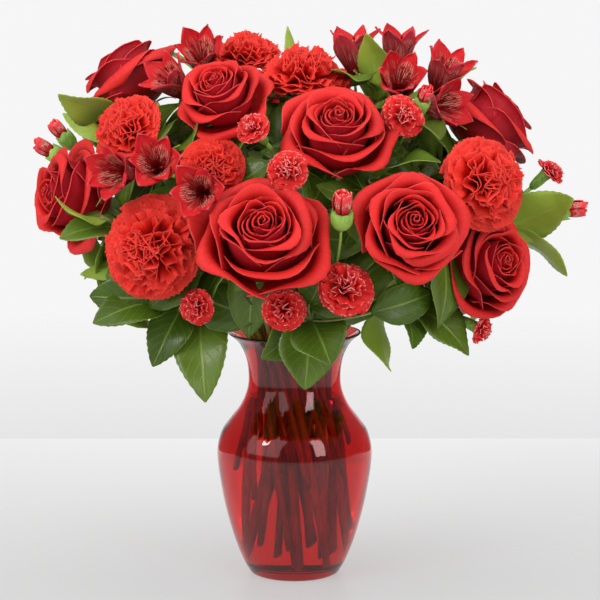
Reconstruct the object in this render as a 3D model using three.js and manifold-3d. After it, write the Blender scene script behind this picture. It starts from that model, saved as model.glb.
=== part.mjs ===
// A florist's vase of red flowers: standard carnations, spray carnations, roses and
// alstroemeria with leafy salal, their cut stems standing in water in a ruby glass vase.
// Millimetres, +Z up. The origin is the centre of the vase's flat foot, the front faces -Y.
import * as THREE from "three";
import { mergeVertices } from "three/addons/utils/BufferGeometryUtils.js";
import Module from "manifold-3d";

const wasm = await Module();
wasm.setup();

// Driving dimensions
const VASE_HEIGHT = 203;
const VASE_WALL = 3;
const VASE_FLOOR = 8;
const VASE_SIDES = 20;
const NECK_Z = 166;
const WATER_Z = 150;
const GAP = 0.35;
const PETAL = 0.8;
const LEAF = 0.7;

// Outer radius of the vase at each height: foot, bowl, belly, shoulder, neck and lip.
const VASE_OUTLINE = [
  [34, 0],
  [38, 3],
  [45, 16],
  [53, 39],
  [60, 68],
  [64.3, 100],
  [61.2, 118.6],
  [54.1, 129.6],
  [45.1, 141.5],
  [39.6, 154],
  [38.1, NECK_Z],
  [40, 181],
  [46, 194],
  [55.3, VASE_HEIGHT],
];

// Where each head is, which way it looks and how wide it is. at is the head's middle,
// face is [turn from the front towards +X, tilt above level] in degrees.
const ROSES = {
  front_left: { at: [-24, -148, 297], face: [0, 36], size: 98 },
  front_right: { at: [88, -136, 305], face: [8, 20], size: 82 },
  top_centre: { at: [33, -92, 372], face: [2, 46], size: 84 },
  top_left: { at: [-58, -62, 400], face: [-24, 46], size: 70 },
  right: { at: [152, -66, 268], face: [42, 12], size: 84 },
  left: { at: [-178, -34, 318], face: [-62, 14], size: 84 },
  back_left: { at: [-136, 34, 408], face: [-108, 50], size: 84 },
  back_right: { at: [158, 14, 374], face: [98, 42], size: 88 },
  back_centre: { at: [12, 138, 372], face: [172, 38], size: 88 },
  back_low: { at: [-92, 140, 292], face: [-148, 16], size: 86 },
};
const CARNATIONS = {
  front_left: { at: [-112, -112, 288], face: [-20, 8], size: 80 },
  right: { at: [150, -98, 336], face: [34, 16], size: 74 },
  top: { at: [8, -14, 418], face: [10, 74], size: 76 },
  inner_left: { at: [-65, -95, 347], face: [-8, 22], size: 52 },
  left: { at: [-134, -58, 374], face: [-42, 30], size: 62 },
  top_left: { at: [-42, 24, 432], face: [-30, 70], size: 58 },
  back_left: { at: [-70, 104, 372], face: [-150, 44], size: 72 },
  back_right: { at: [98, 118, 316], face: [140, 22], size: 76 },
};
// Spray carnations. The stem runs to the first head and the others branch off it. A head
// is an open flower or a bud that just shows its colour.
const SPRAYS = {
  left: [
    { at: [-206, 26, 352], face: [-76, 30], size: 15, kind: "bud" },
    { at: [-196, 40, 366], face: [-80, 50], size: 14, kind: "bud" },
    { at: [-174, 30, 372], face: [-60, 60], size: 13, kind: "bud" },
  ],
  centre: [
    { at: [-33, -112, 379], face: [-34, 34], size: 27, kind: "open" },
    { at: [-6, -142, 348], face: [-6, 18], size: 32, kind: "open" },
  ],
  low_left: [
    { at: [-76, -116, 240], face: [-22, -2], size: 30, kind: "open" },
    { at: [-8, -124, 238], face: [0, -8], size: 35, kind: "open" },
  ],
  low_centre: [
    { at: [40, -140, 258], face: [14, 24], size: 44, kind: "open" },
    { at: [36, -152, 322], face: [4, 62], size: 17, kind: "bud" },
  ],
  top_right: [
    { at: [86, -84, 388], face: [24, 30], size: 36, kind: "open" },
    { at: [102, -68, 400], face: [34, 54], size: 13, kind: "bud" },
  ],
  right: [
    { at: [210, -4, 338], face: [76, 44], size: 26, kind: "open" },
    { at: [230, 10, 303], face: [86, 6], size: 16, kind: "bud" },
    { at: [150, -70, 214], face: [58, -22], size: 24, kind: "open" },
  ],
};
const ALSTROEMERIAS = {
  left: [
    { at: [-138, -108, 344], face: [-34, 4] },
    { at: [-106, -122, 352], face: [-2, 20] },
  ],
  centre_left: [{ at: [-72, -142, 332], face: [-8, 8] }],
  top_left: [
    { at: [-76, -8, 432], face: [-14, 44] },
    { at: [-100, -26, 412], face: [-48, 38] },
  ],
  top_right: [
    { at: [84, -34, 412], face: [4, 34] },
    { at: [86, 14, 438], face: [30, 82] },
    { at: [48, 26, 436], face: [-20, 78] },
  ],
  right: [
    { at: [122, -22, 420], face: [38, 60] },
    { at: [120, -38, 392], face: [44, 8] },
  ],
  back: [
    { at: [78, 92, 384], face: [144, 50] },
    { at: [-8, 84, 408], face: [-170, 62] },
  ],
};
// Leafy stems: the stem's tip, then each leaf as [how far up the bend it grows, its tip,
// width, roll]. A roll of 180 shows the pale underside.
const FOLIAGE = {
  left_high: {
    tip: [-150, 2, 390],
    leaves: [
      [0.97, [-188, -40, 400], 32, 180],
      [0.86, [-190, 10, 382], 28, 160],
      [0.7, [-150, 32, 346], 32, 0],
    ],
  },
  left: {
    tip: [-152, -78, 306],
    leaves: [
      [0.97, [-186, -96, 324], 28, 30],
      [0.88, [-184, -84, 290], 32, -20],
      [0.74, [-172, -44, 256], 26, 170],
      [0.6, [-150, -6, 266], 36, 0],
    ],
  },
  low_left: {
    tip: [-112, -84, 242],
    leaves: [
      [0.97, [-162, -74, 243], 34, 0],
      [0.86, [-158, -92, 224], 38, 0],
      [0.76, [-112, -84, 188], 34, -50],
      [0.66, [-70, -98, 162], 44, -53],
    ],
  },
  low_centre: {
    tip: [14, -92, 226],
    leaves: [
      [0.8, [8, -98, 172], 46, 0],
      [0.97, [28, -124, 196], 44, 0],
      [0.62, [-26, -92, 196], 34, 0],
    ],
  },
  low_right: {
    tip: [96, -72, 236],
    leaves: [
      [0.72, [76, -84, 184], 36, 180],
      [0.84, [92, -106, 206], 32, 20],
      [0.97, [138, -78, 196], 38, 0],
    ],
  },
  right: {
    tip: [172, -8, 288],
    leaves: [
      [0.97, [222, -22, 252], 34, -20],
      [0.9, [222, -54, 318], 38, 10],
      [0.74, [190, 26, 244], 30, 0],
      [0.56, [130, 74, 214], 34, 0],
    ],
  },
  centre: {
    tip: [66, -78, 340],
    leaves: [
      [0.97, [112, -114, 352], 36, 0],
      [0.8, [38, -118, 288], 36, 0],
    ],
  },
  top: {
    tip: [66, 6, 396],
    leaves: [
      [0.97, [58, -22, 448], 34, 10],
      [0.8, [-6, 58, 452], 34, 180],
    ],
  },
  back_left: {
    tip: [-150, 84, 312],
    leaves: [
      [0.97, [-196, 104, 306], 38, 0],
      [0.86, [-164, 140, 252], 36, 0],
      [0.74, [-178, 50, 240], 34, 0],
      [0.6, [-62, 122, 222], 38, 0],
    ],
  },
  back_right: {
    tip: [126, 92, 262],
    leaves: [
      [0.97, [180, 110, 256], 38, 0],
      [0.88, [134, 146, 236], 36, 0],
      [0.76, [176, 56, 218], 34, 0],
      [0.62, [34, 128, 232], 38, 0],
    ],
  },
};

// Colours and finishes as the camera sees them
const finish = (color, roughness) =>
  new THREE.MeshStandardMaterial({ color, roughness, metalness: 0 });
const RUBY_GLASS = finish(0x8c0d14, 0.05);
const WATER = finish(0xd8e6ea, 0.05);
const ROSE_RED = finish(0xb5121b, 0.6);
const CARNATION_RED = finish(0xd3201f, 0.7);
const ALSTROEMERIA_RED = finish(0xb32430, 0.5);
const STEM_GREEN = finish(0x5c8034, 0.5);
const LEAF_GREEN = finish(0x3d5c1c, 0.4);

const vec = (x, y, z) => new THREE.Vector3(x, y, z);
const rad = THREE.MathUtils.degToRad;
const UP = vec(0, 0, 1);
const TURN = 2 * Math.PI;
const polar = (r, z, angle) => vec(r * Math.cos(angle), r * Math.sin(angle), z);

// Solids and meshes
function solidOf(geometry) {
  const bare = new THREE.BufferGeometry();
  bare.setAttribute("position", geometry.getAttribute("position"));
  bare.setIndex(geometry.index);
  const merged = mergeVertices(bare, 1e-3);
  const vertProperties = new Float32Array(merged.attributes.position.array);
  const triVerts = new Uint32Array(merged.index.array);
  const made = new wasm.Manifold(new wasm.Mesh({ numProp: 3, vertProperties, triVerts }));
  if (made.volume() > 0) return made;
  triVerts.reverse();
  return new wasm.Manifold(new wasm.Mesh({ numProp: 3, vertProperties, triVerts }));
}

function solidFrom(points, index) {
  const positions = points.flatMap((point) => point.toArray());
  const geometry = new THREE.BufferGeometry();
  geometry.setAttribute("position", new THREE.Float32BufferAttribute(positions, 3));
  geometry.setIndex(index);
  return solidOf(geometry);
}

function geometryOf(solid) {
  const mesh = solid.getMesh();
  const positions = new Float32Array(mesh.numVert * 3);
  for (let i = 0; i < mesh.numVert; i++) {
    const start = i * mesh.numProp;
    positions.set(mesh.vertProperties.subarray(start, start + 3), i * 3);
  }
  return new THREE.BufferGeometry()
    .setAttribute("position", new THREE.BufferAttribute(positions, 3))
    .setIndex(new THREE.BufferAttribute(mesh.triVerts, 1));
}

const joined = (solids) => solids.reduce((all, one) => all.add(one));

function turned(outline, sides) {
  const points = outline.map(([r, z]) => new THREE.Vector2(r, z));
  return solidOf(new THREE.LatheGeometry(points, sides).rotateX(Math.PI / 2));
}

// A thin blade: point(u, v) is its middle surface, u across from 0 to 1, v at each row.
// Both faces split each cell along the same diagonal.
function blade(point, across, rows, thickness) {
  const step = 1e-3;
  const points = [];
  for (const side of [0.5, -0.5])
    for (const v of rows)
      for (let i = 0; i <= across; i++) {
        const u = i / across;
        const alongU = point(u + step, v).sub(point(u - step, v));
        const alongV = point(u, Math.min(v + step, 1)).sub(point(u, Math.max(v - step, 0)));
        const normal = alongU.cross(alongV).normalize();
        points.push(point(u, v).addScaledVector(normal, side * thickness));
      }
  const far = points.length / 2;
  const last = rows.length - 1;
  const at = (i, j) => j * (across + 1) + i;
  const index = [];
  const wall = (a, b) => index.push(b, a, a + far, b, a + far, b + far);
  for (let j = 0; j < last; j++) {
    for (let i = 0; i < across; i++) {
      const [a, b, c, d] = [at(i, j), at(i + 1, j), at(i + 1, j + 1), at(i, j + 1)];
      index.push(a, b, c, a, c, d);
      index.push(a + far, c + far, b + far, a + far, d + far, c + far);
    }
    wall(at(0, j + 1), at(0, j));
    wall(at(across, j), at(across, j + 1));
  }
  for (let i = 0; i < across; i++) {
    wall(at(i, 0), at(i + 1, 0));
    wall(at(i + 1, last), at(i, last));
  }
  return solidFrom(points, index);
}

// A closed skin from one end point, over rings of points, to the other end point. A ring
// marked inner follows the inside of a petal, where cells split to match its outside.
function skin(start, rings, end) {
  const columns = rings[0].points.length;
  const points = [start, ...rings.flatMap((ring) => ring.points), end];
  const at = (i, j) => 1 + j * columns + (i % columns);
  const last = rings.length - 1;
  const index = [];
  for (let i = 0; i < columns; i++) {
    index.push(0, at(i + 1, 0), at(i, 0));
    for (let j = 0; j < last; j++) {
      const [a, b, c, d] = [at(i, j), at(i + 1, j), at(i + 1, j + 1), at(i, j + 1)];
      if (rings[j + 1].inner) index.push(a, b, d, b, c, d);
      else index.push(a, b, c, a, c, d);
    }
    index.push(at(i, last), at(i + 1, last), points.length - 1);
  }
  return solidFrom(points, index);
}

function ring(columns, place, inner = false) {
  return { inner, points: Array.from({ length: columns }, (_, i) => place(i)) };
}

// A tube along points, with its own radius at each of them
function tube(points, radii, sides) {
  const along = points.map((_, i) => {
    const [before, after] = [points[Math.max(i - 1, 0)], points.at(i + 1) ?? points.at(-1)];
    return after.clone().sub(before).normalize();
  });
  let across = vec(1, 0, 0).cross(along[0]).normalize();
  const rings = points.map((point, k) => {
    across = across.addScaledVector(along[k], -across.dot(along[k])).normalize();
    const other = along[k].clone().cross(across);
    const right = across.clone();
    return ring(sides, (i) => {
      const corner = polar(radii[k], 0, (i / sides) * TURN);
      return point.clone().addScaledVector(right, corner.x).addScaledVector(other, corner.y);
    });
  });
  return skin(points[0].clone(), rings, points.at(-1).clone());
}

// Placing: a head is made looking along +Z from its foot, then turned to look along aim.
function aimOf([turn, tilt]) {
  const [a, e] = [rad(turn), rad(tilt)];
  return vec(Math.sin(a) * Math.cos(e), -Math.cos(a) * Math.cos(e), Math.sin(e));
}

function placed(solid, foot, aim) {
  const turn = new THREE.Quaternion().setFromUnitVectors(UP, aim);
  return solid.transform(new THREE.Matrix4().compose(foot, turn, vec(1, 1, 1)).elements);
}

// A head's middle is this share of its width ahead of its foot.
const MIDDLE = { rose: 0.3, carnation: 0.28, open: 0.3, bud: 0.4 };
const FLORET_LENGTH = 42;
const footOf = (head, ahead) => vec(...head.at).addScaledVector(aimOf(head.face), -ahead);

// Rose: three whorls of cupped petals round a closed heart. Each petal's leading edge
// stands out and its trailing edge tucks in, so that the whorl reads as overlapping petals.
const ROSE_COLUMNS = 12;
const ROSE_HEIGHT = 0.62;
const ROSE_WHORLS = [
  { petals: 4, belly: [0.7, 0.08], lip: [1, 0.56], inside: [0.6, 0.26], start: 0 },
  { petals: 3, lip: [0.72, 0.86], inside: [0.44, 0.46], start: 42 },
  { petals: 3, lip: [0.42, 1], inside: [0.26, 0.66], start: 98 },
];

function rose(size) {
  const [radius, height] = [size / 2, size * ROSE_HEIGHT];
  const rings = [ring(ROSE_COLUMNS, (i) => polar(5, 0, (i / ROSE_COLUMNS) * TURN))];
  for (const { petals, belly, lip, inside, start } of ROSE_WHORLS) {
    const share = ROSE_COLUMNS / petals;
    const place = (r, z, edge, shift) => (i) => {
      const side = (2 * (i % share)) / (share - 1) - 1;
      const centre = ((Math.floor(i / share) + 0.5) / petals) * TURN;
      const angle = rad(start) + centre + side * 0.88 * (Math.PI / petals);
      const out = r * radius * (1 + edge * 0.05 * side) - shift;
      return polar(out, z * height * (1 - edge * 0.16 * side * side), angle);
    };
    if (belly) rings.push(ring(ROSE_COLUMNS, place(...belly, 0.4, 0)));
    rings.push(ring(ROSE_COLUMNS, place(...lip, 1, 0)));
    rings.push(ring(ROSE_COLUMNS, place(...lip, 1, PETAL)));
    rings.push(ring(ROSE_COLUMNS, place(...inside, 0.4, 0), true));
  }
  return skin(vec(0, 0, 0), rings, vec(0, 0, 0.94 * height));
}

// Pinked petals in layers, as in a carnation: every layer is waved up and down round its
// lip and is set half a wave round from the layer below it.
function pinked({ size, columns, cup, layers, top }) {
  const radius = size / 2;
  const rings = cup.map(([r, z]) => ring(columns, (i) => polar(r, z, (i / columns) * TURN)));
  layers.forEach(({ lip, inside }, layer) => {
    const slope = new THREE.Vector2(lip[0] - inside[0], lip[1] - inside[1]).normalize();
    const place = ([r, z], wave, lift) => (i) => {
      const up = (i + layer) % 2 === 0 ? 1 : -1;
      const angle = ((i + 0.3 * layer) / columns) * TURN;
      const out = radius * (r + up * wave * 0.07) - slope.y * lift;
      return polar(out, radius * (z + up * wave * 0.1) + slope.x * lift, angle);
    };
    rings.push(ring(columns, place(lip, 1, 0)));
    rings.push(ring(columns, place(lip, 1, PETAL)));
    rings.push(ring(columns, place(inside, 0.3, 0), true));
  });
  return skin(vec(0, 0, cup[0][1]), rings, vec(0, 0, top * radius));
}

const CARNATION_LAYERS = [
  { lip: [0.93, 0.3], inside: [0.5, 0.46] },
  { lip: [0.86, 0.62], inside: [0.42, 0.62] },
  { lip: [0.66, 0.92], inside: [0.3, 0.76] },
  { lip: [0.38, 1.1], inside: [0.14, 0.88] },
];

const carnation = (size) =>
  pinked({ size, columns: 12, cup: [[6.4, 0]], layers: CARNATION_LAYERS, top: 0.96 });

// Spray carnation: a small open flower or a bud, each rising out of its own green calyx
const SPRAY_LAYERS = [
  { lip: [0.93, 0.5], inside: [0.42, 0.6] },
  { lip: [0.56, 0.92], inside: [0.2, 0.72] },
];
const CALYX_LENGTH = 16;

function sprayFlower(size) {
  const cup = [
    [1.7, -CALYX_LENGTH],
    [4.2, 3 - CALYX_LENGTH],
    [4.2, 0],
  ];
  return pinked({ size, columns: 8, cup, layers: SPRAY_LAYERS, top: 0.8 });
}

function sprayBud(size) {
  const cup = [
    [1.7, -CALYX_LENGTH],
    [0.36 * size, 3 - CALYX_LENGTH],
    [0.4 * size, 0],
    [0.5 * size, 0.5 * size],
  ];
  const rings = cup.map(([r, z]) => ring(6, (i) => polar(r, z, (i / 6) * TURN)));
  return skin(vec(0, 0, -CALYX_LENGTH), rings, vec(0, 0, 0.82 * size));
}

// Alstroemeria: a tapered throat that splits into six tepals, broad and narrow in turn,
// each widening from its root and then drawn in to a blunt tip.
const TEPALS = [
  { half: 9, out: 15.5, tip: 24 },
  { half: 6, out: 13, tip: 21 },
];

function floret() {
  const points = [vec(0, 0, -6), vec(0, 0, 6)];
  const put = (r, across, z, turn) => points.push(vec(r, across, z).applyAxisAngle(UP, turn)) - 1;
  const edges = Array.from({ length: 12 }, (_, k) => {
    const { half, out, tip } = TEPALS[Math.floor(k / 2) % 2];
    const [turn, side] = [(Math.floor(k / 2) * Math.PI) / 3, k % 2 === 0 ? -1 : 1];
    const outline = [
      [3.4, 0.9, 7],
      [out, half, 0.68 * FLORET_LENGTH],
      [tip, 2, 0.95 * FLORET_LENGTH],
    ];
    return {
      under: outline.map(([r, w, z]) => put(r, side * w, z, turn)),
      over: outline.map(([r, w, z]) => put(r - 0.7, side * w, z + 0.4, turn)),
    };
  });
  const index = [];
  const quad = (a, b, c, d) => index.push(a, b, c, a, c, d);
  edges.forEach((left, k) => {
    const right = edges[(k + 1) % edges.length];
    index.push(0, right.under[0], left.under[0], left.over[0], right.over[0], 1);
    const last = k % 2 === 0 ? 2 : 0;
    quad(left.under[last], right.under[last], right.over[last], left.over[last]);
    for (let j = 0; j < last; j++) {
      quad(left.under[j], right.under[j], right.under[j + 1], left.under[j + 1]);
      index.push(left.over[j], right.over[j + 1], right.over[j]);
      index.push(left.over[j], left.over[j + 1], right.over[j + 1]);
      quad(right.under[j], right.over[j], right.over[j + 1], right.under[j + 1]);
      quad(left.over[j], left.under[j], left.under[j + 1], left.over[j + 1]);
    }
  });
  return solidFrom(points, index);
}

// Stems: every stem runs straight from its foot in the vase to its own place in the neck, then
// bends out to its head. The places are in rings, and each ring of stems is twisted as a whole,
// the other way from the ring inside it, so that no two stems cross.
const NECK_RINGS = [
  { radius: 0, places: 1, twist: 0, spread: 1, splay: 0 },
  { radius: 9, places: 6, twist: rad(60), spread: 1.2, splay: 0.4 },
  { radius: 18.4, places: 12, twist: rad(-60), spread: 1.2, splay: 0.4 },
  { radius: 28.3, places: 21, twist: rad(52), spread: 1.14, splay: 1.4 },
];
const HEART = vec(0, 0, 230);
const BRANCHING = 0.6;
const STALK = { rose: 3, carnation: 2.4, spray: 1.8, alstroemeria: 2.3, foliage: 2 };
const SIDES = { rose: 5, carnation: 5, spray: 4, alstroemeria: 4, foliage: 4 };
const CUT_SHORT = { rose: 0, carnation: 0.06, spray: 0.5, alstroemeria: 0.38, foliage: 0.55 };
const CUT_STEP = 0.06;
const BENDS = 4;

function neckPlaces(tips) {
  const lean = tips.map((tip) => tip.clone().sub(HEART).angleTo(UP));
  const bearing = tips.map((tip) => Math.atan2(tip.y, tip.x));
  const inward = tips.map((_, i) => i).sort((a, b) => lean[a] - lean[b]);
  const places = [];
  let taken = 0;
  for (const { radius, places: room, ...lie } of NECK_RINGS) {
    const members = inward.slice(taken, taken + room).sort((a, b) => bearing[a] - bearing[b]);
    taken += members.length;
    const step = TURN / members.length;
    const offset = members.reduce((sum, i, k) => sum + bearing[i] - k * step, 0) / members.length;
    members.forEach((i, k) => {
      places[i] = { neck: polar(radius, NECK_Z, offset + k * step), ...lie };
    });
  }
  return places;
}

// cut is the share of its run in the vase that a stem is cut short by. Short stems lean more.
function stemPoints({ neck, twist, spread, splay }, tip, aim, cut) {
  const foot = neck.clone().applyAxisAngle(UP, twist);
  foot.multiplyScalar(spread + splay * cut);
  foot.z = VASE_FLOOR + 0.9;
  foot.lerp(neck, cut);
  const up = neck.clone().sub(foot).normalize();
  const reach = tip.distanceTo(neck);
  const bend = new THREE.CubicBezierCurve3(
    neck,
    neck.clone().addScaledVector(up, 34 + reach * 0.22),
    tip.clone().addScaledVector(aim, -reach * 0.3),
    tip,
  );
  return { foot, bend };
}

const stemTube = ({ kind, foot, bend }, grow = 0) => {
  const points = [foot, ...bend.getPoints(BENDS)];
  return tube(points, points.map(() => STALK[kind] + grow), SIDES[kind]);
};

// A side branch leaves its stem and comes up behind its own head.
function branch(stem, head, ahead, radius) {
  const aim = aimOf(head.face);
  const from = stem.bend.getPoint(BRANCHING);
  const end = footOf(head, ahead);
  const middle = end.clone().addScaledVector(aim, -0.4 * end.distanceTo(from));
  const curve = new THREE.QuadraticBezierCurve3(from, middle, end);
  return tube(curve.getPoints(3), [radius, radius, radius, radius], 4);
}

// A leaf is folded along its rib, waves along its edges and arches to its tip.
function leaf(base, tip, width, roll) {
  const axis = tip.clone().sub(base);
  const length = axis.length();
  axis.normalize();
  const outward = base.clone().add(tip).multiplyScalar(0.5).sub(HEART);
  const face = outward.addScaledVector(axis, -outward.dot(axis)).normalize();
  face.applyAxisAngle(axis, rad(roll));
  const across = axis.clone().cross(face);
  const point = (u, v) => {
    const side = 2 * u - 1;
    const half = 0.6 + (width / 2) * Math.sin(Math.PI * v ** 0.85);
    const lift = length * 0.1 * Math.sin(Math.PI * v) + Math.abs(side) * (half - 0.6) * 0.22;
    return base
      .clone()
      .addScaledVector(axis, length * v)
      .addScaledVector(across, side * half)
      .addScaledVector(face, lift + side * width * 0.05 * Math.sin(3 * Math.PI * v));
  };
  return blade(point, 2, [0, 0.25, 0.6, 1], LEAF);
}

// The arrangement: every stem's tip, aim and place in the neck
const stems = [];
const headTip = (head, ahead) => [footOf(head, ahead + GAP), aimOf(head.face)];
const sprayAhead = (head) => head.size * MIDDLE[head.kind] + CALYX_LENGTH;
const FLORET_AHEAD = FLORET_LENGTH * 0.6 + 6;

for (const [name, head] of Object.entries(ROSES))
  stems.push(["rose", name, ...headTip(head, head.size * MIDDLE.rose)]);
for (const [name, head] of Object.entries(CARNATIONS))
  stems.push(["carnation", name, ...headTip(head, head.size * MIDDLE.carnation)]);
for (const [name, heads] of Object.entries(SPRAYS))
  stems.push(["spray", name, ...headTip(heads[0], sprayAhead(heads[0]) - 2)]);
for (const [name, heads] of Object.entries(ALSTROEMERIAS))
  stems.push(["alstroemeria", name, ...headTip(heads[0], FLORET_AHEAD - 2)]);
for (const [name, { tip }] of Object.entries(FOLIAGE)) {
  const end = vec(...tip);
  stems.push(["foliage", name, end, end.clone().sub(HEART).normalize()]);
}

const places = neckPlaces(stems.map(([, , tip]) => tip));
const stemOf = {};
stems.forEach(([kind, name, tip, aim], i) => {
  const cut = CUT_SHORT[kind] + CUT_STEP * (i % 3);
  const { foot, bend } = stemPoints(places[i], tip, aim, cut);
  stemOf[`${kind}_${name}`] = { kind, name, tip, aim, foot, bend };
});

// Vase and water. The water has a plain hole for every stem.
const inside = VASE_OUTLINE.slice(2).map(([r, z]) => [r - VASE_WALL, z]);
const floorRadius = inside[0][0] - 5;
const vase = turned(
  [[0, 0], ...VASE_OUTLINE, ...inside.toReversed(), [floorRadius, VASE_FLOOR], [0, VASE_FLOOR]],
  VASE_SIDES,
);
const wet = inside.filter(([, z]) => z < WATER_Z).map(([r, z]) => [r - GAP, z]);
const waterBody = turned(
  [
    [0, VASE_FLOOR + GAP],
    [floorRadius - GAP, VASE_FLOOR + GAP],
    ...wet,
    [wet.at(-1)[0] - 3.4, WATER_Z],
    [0, WATER_Z],
  ],
  VASE_SIDES,
);
const water = Object.values(stemOf).reduce(
  (body, stem) => body.subtract(stemTube(stem, GAP)),
  waterBody,
);

const bouquet = new THREE.Group();
function add(name, material, solid) {
  const mesh = new THREE.Mesh(geometryOf(solid), material);
  mesh.name = name;
  bouquet.add(mesh);
}

add("vase", RUBY_GLASS, vase);
add("water", WATER, water);

// Roses and their stems: under each head a hip with five pointed sepals
function hip() {
  const around = (out, notch) =>
    ring(10, (i) => {
      const [r, z] = i % 2 === 0 ? out : notch;
      return polar(r, z, (i / 10) * TURN);
    });
  const rings = [
    around([4.4, -11], [4.4, -11]),
    around([21, -12], [7, -3]),
    around([21, -12 + PETAL], [6.6, -2]),
  ];
  return skin(vec(0, 0, -15), rings, vec(0, 0, 0));
}

function roseStem(stem) {
  const { tip, aim, foot, bend } = stem;
  const way = bend.getPoints(BENDS).slice(0, -1);
  const points = [foot, ...way, tip.clone().addScaledVector(aim, -10)];
  const stalk = tube(points, points.map(() => STALK.rose), SIDES.rose);
  return joined([stalk, placed(hip(), tip, aim)]);
}

for (const [name, head] of Object.entries(ROSES)) {
  const foot = footOf(head, head.size * MIDDLE.rose);
  add(`rose_${name}`, ROSE_RED, placed(rose(head.size), foot, aimOf(head.face)));
  add(`rose_stem_${name}`, STEM_GREEN, roseStem(stemOf[`rose_${name}`]));
}

// Carnations and their stems: the stem swells into a long calyx under the head.
function carnationStem(stem) {
  const { tip, aim, foot, bend } = stem;
  const calyx = [-27, -24, 0].map((z) => tip.clone().addScaledVector(aim, z));
  const points = [foot, ...bend.getPoints(BENDS).slice(0, -1), ...calyx];
  const radii = [...points.slice(2).map(() => STALK.carnation), 6, 6.6];
  return tube(points, radii, SIDES.carnation);
}

for (const [name, head] of Object.entries(CARNATIONS)) {
  const foot = footOf(head, head.size * MIDDLE.carnation);
  add(`carnation_${name}`, CARNATION_RED, placed(carnation(head.size), foot, aimOf(head.face)));
  add(`carnation_stem_${name}`, STEM_GREEN, carnationStem(stemOf[`carnation_${name}`]));
}

for (const [name, heads] of Object.entries(SPRAYS)) {
  const stem = stemOf[`spray_${name}`];
  const flowers = heads.map((head) => {
    const made = head.kind === "open" ? sprayFlower(head.size) : sprayBud(head.size);
    return placed(made, footOf(head, head.size * MIDDLE[head.kind]), aimOf(head.face));
  });
  const branches = heads.slice(1).map((head) => branch(stem, head, sprayAhead(head) - 2, 1.2));
  add(`spray_carnation_${name}`, CARNATION_RED, joined([stemTube(stem), ...branches, ...flowers]));
}

for (const [name, heads] of Object.entries(ALSTROEMERIAS)) {
  const stem = stemOf[`alstroemeria_${name}`];
  const florets = heads.map((head) =>
    placed(floret(), footOf(head, FLORET_LENGTH * 0.6), aimOf(head.face)),
  );
  const branches = heads.slice(1).map((head) => branch(stem, head, FLORET_AHEAD - 2, 1.3));
  add(`alstroemeria_${name}`, ALSTROEMERIA_RED, joined([stemTube(stem), ...branches, ...florets]));
}

for (const [name, { leaves }] of Object.entries(FOLIAGE)) {
  const stem = stemOf[`foliage_${name}`];
  const blades = leaves.map(([share, tip, width, roll]) =>
    leaf(stem.bend.getPoint(share), vec(...tip), width, roll),
  );
  add(`foliage_${name}`, LEAF_GREEN, joined([stemTube(stem), ...blades]));
}

export default bouquet;
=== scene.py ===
import math
import random

import bmesh
import bpy
from mathutils import Matrix, Vector
from mathutils.geometry import interpolate_bezier


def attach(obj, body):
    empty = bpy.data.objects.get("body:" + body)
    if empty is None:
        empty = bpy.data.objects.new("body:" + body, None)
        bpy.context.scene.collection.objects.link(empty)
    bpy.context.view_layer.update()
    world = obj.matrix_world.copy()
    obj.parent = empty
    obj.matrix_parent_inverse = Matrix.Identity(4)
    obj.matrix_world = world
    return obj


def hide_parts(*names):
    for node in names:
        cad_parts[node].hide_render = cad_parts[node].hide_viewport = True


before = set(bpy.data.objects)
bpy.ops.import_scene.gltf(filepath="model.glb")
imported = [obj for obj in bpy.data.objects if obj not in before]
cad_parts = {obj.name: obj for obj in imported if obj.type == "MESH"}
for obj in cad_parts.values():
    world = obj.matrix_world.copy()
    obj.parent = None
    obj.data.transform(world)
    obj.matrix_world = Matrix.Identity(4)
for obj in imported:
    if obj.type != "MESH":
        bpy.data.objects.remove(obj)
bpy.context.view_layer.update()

# Camera: a long lens a little above the flowers, nearly level, as for a catalogue picture.
# It looks at the middle of the arrangement and carries no shift and no depth of field.
CAMERA_AT = Vector((0, -1.8, 0.485))
CAMERA_AIM = Vector((0.0045, 0, 0.2292))

camera = bpy.data.cameras.new("camera")
camera.sensor_width = 36
camera.lens = 132.3
camera_object = bpy.data.objects.new("camera", camera)
camera_object.location = CAMERA_AT
camera_object.rotation_euler = (CAMERA_AIM - CAMERA_AT).to_track_quat("-Z", "Y").to_euler()
bpy.context.scene.collection.objects.link(camera_object)
bpy.context.scene.camera = camera_object
bpy.context.scene.view_settings.view_transform = "Standard"

# Studio: an opal acrylic table top in front of a pale backdrop that brightens upwards, a large
# soft box with a bare lamp in it high on the left, a weaker one on the right and a soft light
# overhead. Glossy rays alone see a painted dark surround at the sides and front, a painted
# reflection that lights nothing; towards the back they see the room's light.
TABLE_BACK = 0.546
TABLE_FRONT = -3.0
TABLE_HALF = 3.0
BACKDROP_LOW = "#e4e4e4"
BACKDROP_HIGH = "#f6f6f6"
BACKDROP_RISE = (-0.207, -0.145)
ROOM = 0.98
# The painted dark surround that only reflections show, and where it gives way to the room's
# light
REFLECTED_DARK = 0.16
REFLECTED_DARK_END = (0.86, 0.98)
SOFT_BOXES = [
    # name, place, size in metres, watts
    ("key_light", (-1.35, -1.15, 1.35), (2.2, 2.2), 16),
    ("key_lamp", (-1.32, -1.12, 1.22), (0.35, 0.45), 8),
    ("fill_light", (1.15, -1.45, 1.1), (0.6, 1.5), 12),
    ("top_light", (0.1, 0.1, 1.7), (1.4, 1.2), 6),
]
LIGHTS_AIM = Vector((0, 0, 0.26))


def srgb(code):
    """The linear colour of an sRGB hex value."""
    parts = [int(code[i : i + 2], 16) / 255 for i in (1, 3, 5)]
    return [*(c / 12.92 if c <= 0.04045 else ((c + 0.055) / 1.055) ** 2.4 for c in parts), 1.0]


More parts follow.
